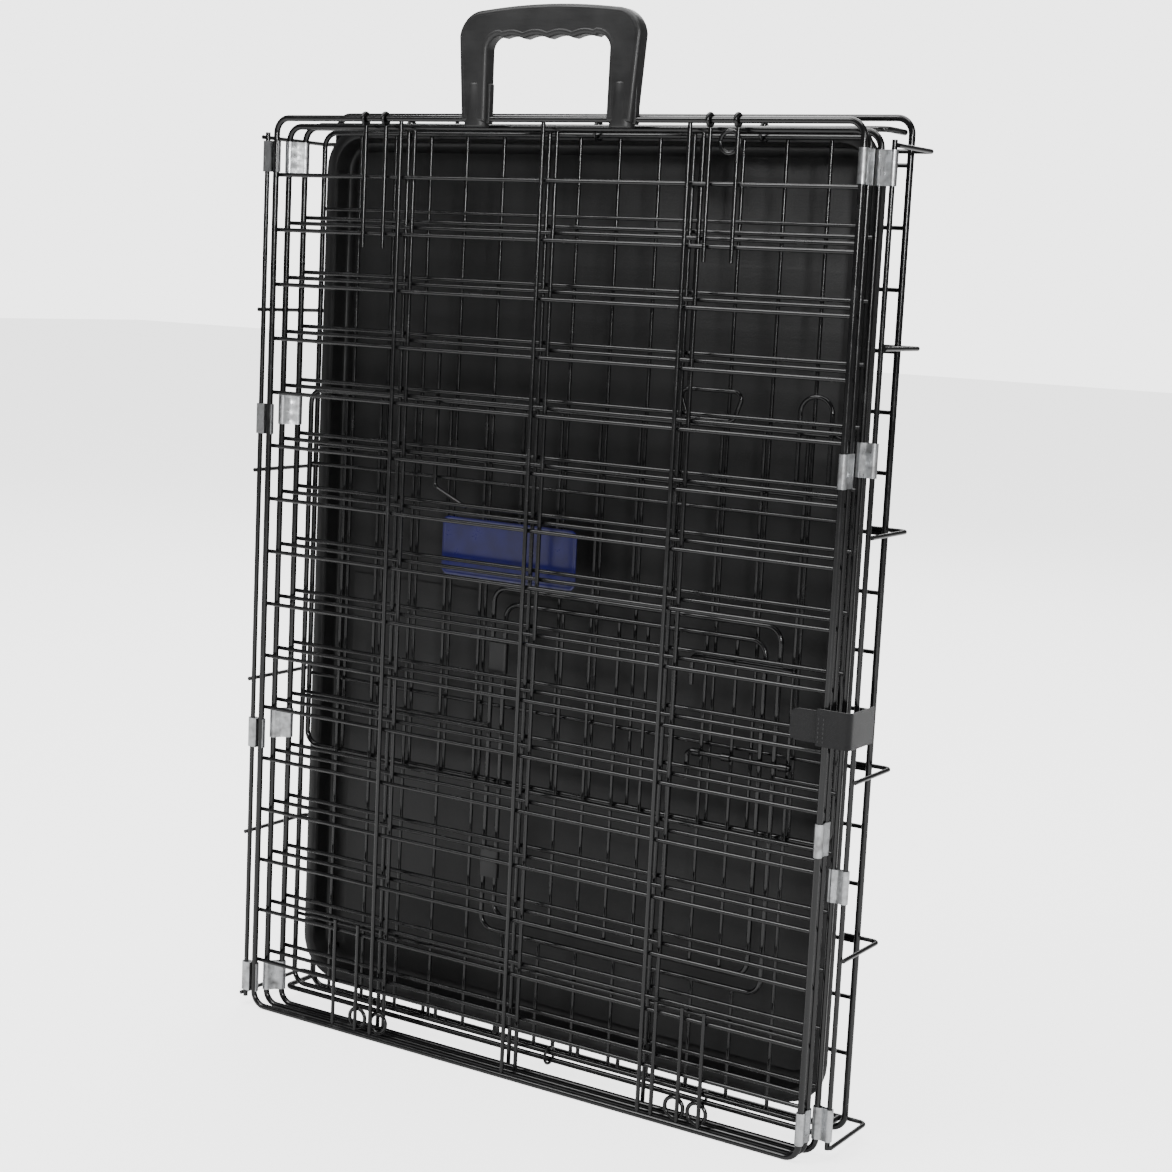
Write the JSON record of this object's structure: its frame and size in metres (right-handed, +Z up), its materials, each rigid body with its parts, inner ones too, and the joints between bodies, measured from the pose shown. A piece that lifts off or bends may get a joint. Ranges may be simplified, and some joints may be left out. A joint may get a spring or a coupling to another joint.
{
  "type": "folding wire dog crate",
  "caption": "Folding wire pet crate, shown folded flat on end: hinged wire grid panels, inner end panels with a latched door, slide-in pan, carry handle and strap.",
  "frame": {"origin": "middle of the bottom of the folded stack's bounding box, on the ground that it stands on", "axes": "+Z up along the panels' long edges, +X to the right seen from the front panel, +Y from the front panel back to the floor panel"},
  "size_m": [0.5661, 0.0879, 0.844],
  "materials": {
    "frame_wire": "satin black coating",
    "grid_wire": "satin black coating",
    "latch_wire": "satin black coating",
    "clip_steel": "bright zinc-plated sheet",
    "pan_plastic": "moulded, fine texture",
    "handle_plastic": "moulded, slight sheen",
    "strap_fabric": "woven hook-and-loop tape",
    "label_plastic": "plain blue plate"
  },
  "bodies": {
    "floor": {"door_frame": "grid_wire", "door_hinge_clips": "latch_wire", "door_surround": "grid_wire", "door_upright_wires": "grid_wire", "finger_loop": "latch_wire", "floor_cross_wires": "grid_wire", "floor_frame": "frame_wire", "floor_long_wires": "grid_wire", "floor_to_side_a_clips": "clip_steel", "floor_to_side_b_clips": "clip_steel", "hook_loop": "latch_wire", "label_plate": "label_plastic", "latch_rod": "latch_wire", "left_hinge_rail": "grid_wire", "left_stand_off_wires": "grid_wire", "lower_end_cross_wires": "grid_wire", "lower_end_frame": "grid_wire", "lower_end_hinge_rings": "grid_wire", "lower_end_hinge_rod": "grid_wire", "lower_end_upright_wires": "grid_wire", "pan_stop_hooks": "grid_wire", "right_hinge_rail": "grid_wire", "right_stand_off_wires": "grid_wire", "slide_bolt_guides": "latch_wire", "slide_bolt_keepers": "latch_wire", "upper_end_cross_wires": "grid_wire", "upper_end_frame": "grid_wire", "upper_end_hinge_rings": "grid_wire", "upper_end_hinge_rod": "grid_wire", "upper_end_upright_wires": "grid_wire"},
    "side_a": {"side_a_frame": "frame_wire", "side_a_long_wires": "grid_wire", "side_a_cross_wires": "grid_wire", "side_a_top_hooks": "grid_wire", "side_a_bottom_hooks": "grid_wire", "side_a_curled_eyes": "latch_wire", "strap_tongue": "strap_fabric"},
    "roof": {"roof_frame": "frame_wire", "roof_long_wires": "grid_wire", "roof_cross_wires": "grid_wire", "roof_to_side_a_clips": "clip_steel"},
    "side_b": {"side_b_frame": "frame_wire", "side_b_long_wires": "grid_wire", "side_b_cross_wires": "grid_wire", "side_b_to_roof_clips": "clip_steel"},
    "pan": {"pan": "pan_plastic"},
    "handle": {"carry_handle": "handle_plastic"},
    "strap": {"strap_band": "strap_fabric"},
    "lower_bolt": {"lower_slide_bolt": "latch_wire"},
    "upper_bolt": {"upper_slide_bolt": "latch_wire"}
  },
  "joints": [
    {"name": "side_b_fold", "type": "hinge", "parent": "floor", "child": "side_b", "pos_m": [0.266, -0.0172, 0], "axis": [0, 0, 1], "range_deg": [0, 87]},
    {"name": "roof_fold", "type": "hinge", "parent": "side_b", "child": "roof", "pos_m": [-0.263, -0.0267, 0], "axis": [0, 0, 1], "range_deg": [-261, 0]},
    {"name": "side_a_fold", "type": "hinge", "parent": "roof", "child": "side_a", "pos_m": [0.262, -0.0372, 0], "axis": [0, 0, 1], "range_deg": [0, 87]},
    {"name": "pan_slide", "type": "slide", "parent": "floor", "child": "pan", "axis": [0, 0, 1], "range_m": [0, 0.55]},
    {"name": "handle_swing", "type": "hinge", "parent": "side_a", "child": "handle", "pos_m": [-0.0015, -0.0372, 0.7595], "axis": [1, 0, 0], "range_deg": [0, 100]},
    {"name": "strap_swing", "type": "hinge", "parent": "side_a", "child": "strap", "pos_m": [0.2826, -0.04185, 0.331], "axis": [0, 0, 1], "range_deg": [-170, 0]},
    {"name": "lower_bolt_slide", "type": "slide", "parent": "floor", "child": "lower_bolt", "axis": [1, 0, 0], "range_m": [-0.045, 0]},
    {"name": "upper_bolt_slide", "type": "slide", "parent": "floor", "child": "upper_bolt", "axis": [1, 0, 0], "range_m": [-0.045, 0]}
  ],
  "couplings": [
    {"joint": "roof_fold", "follows": "side_b_fold", "ratio": -3},
    {"joint": "side_a_fold", "follows": "side_b_fold", "ratio": 1}
  ]
}
